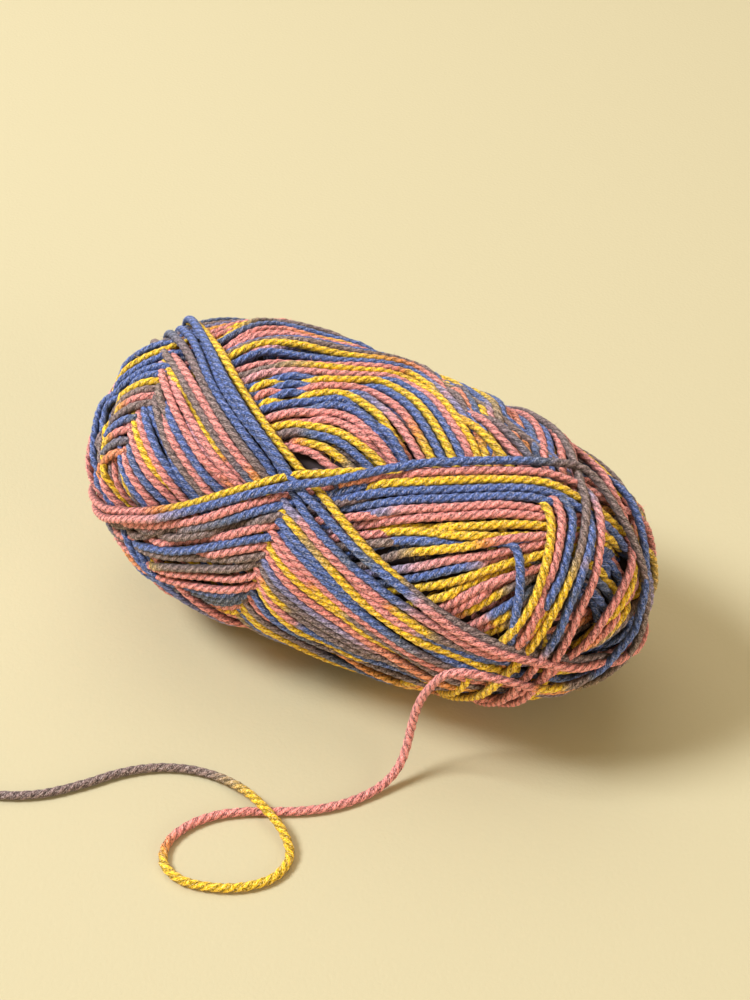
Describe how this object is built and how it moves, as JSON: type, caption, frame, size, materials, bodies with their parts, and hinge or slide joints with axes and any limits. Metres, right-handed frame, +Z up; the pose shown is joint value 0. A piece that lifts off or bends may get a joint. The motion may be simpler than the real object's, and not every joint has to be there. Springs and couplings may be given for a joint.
{
  "type": "acrylic yarn skein",
  "caption": "Oval centre-pull skein of thick multicoloured acrylic yarn lying on its side, with a loose end curled in a loop in front.",
  "frame": {"origin": "on the floor under the middle of the skein's box, the loose end left out", "axes": "+X along the skein towards its slimmer end, +Y away from the loose end, +Z up"},
  "size_m": [0.17, 0.1645, 0.0848],
  "materials": {
    "yarn": "matt plied acrylic yarn, dyed in long stretches of pink, orange, yellow, taupe, slate, blue and lavender"
  },
  "bodies": {
    "root": {"skein": "yarn", "loose_end": "yarn"}
  },
  "joints": []
}
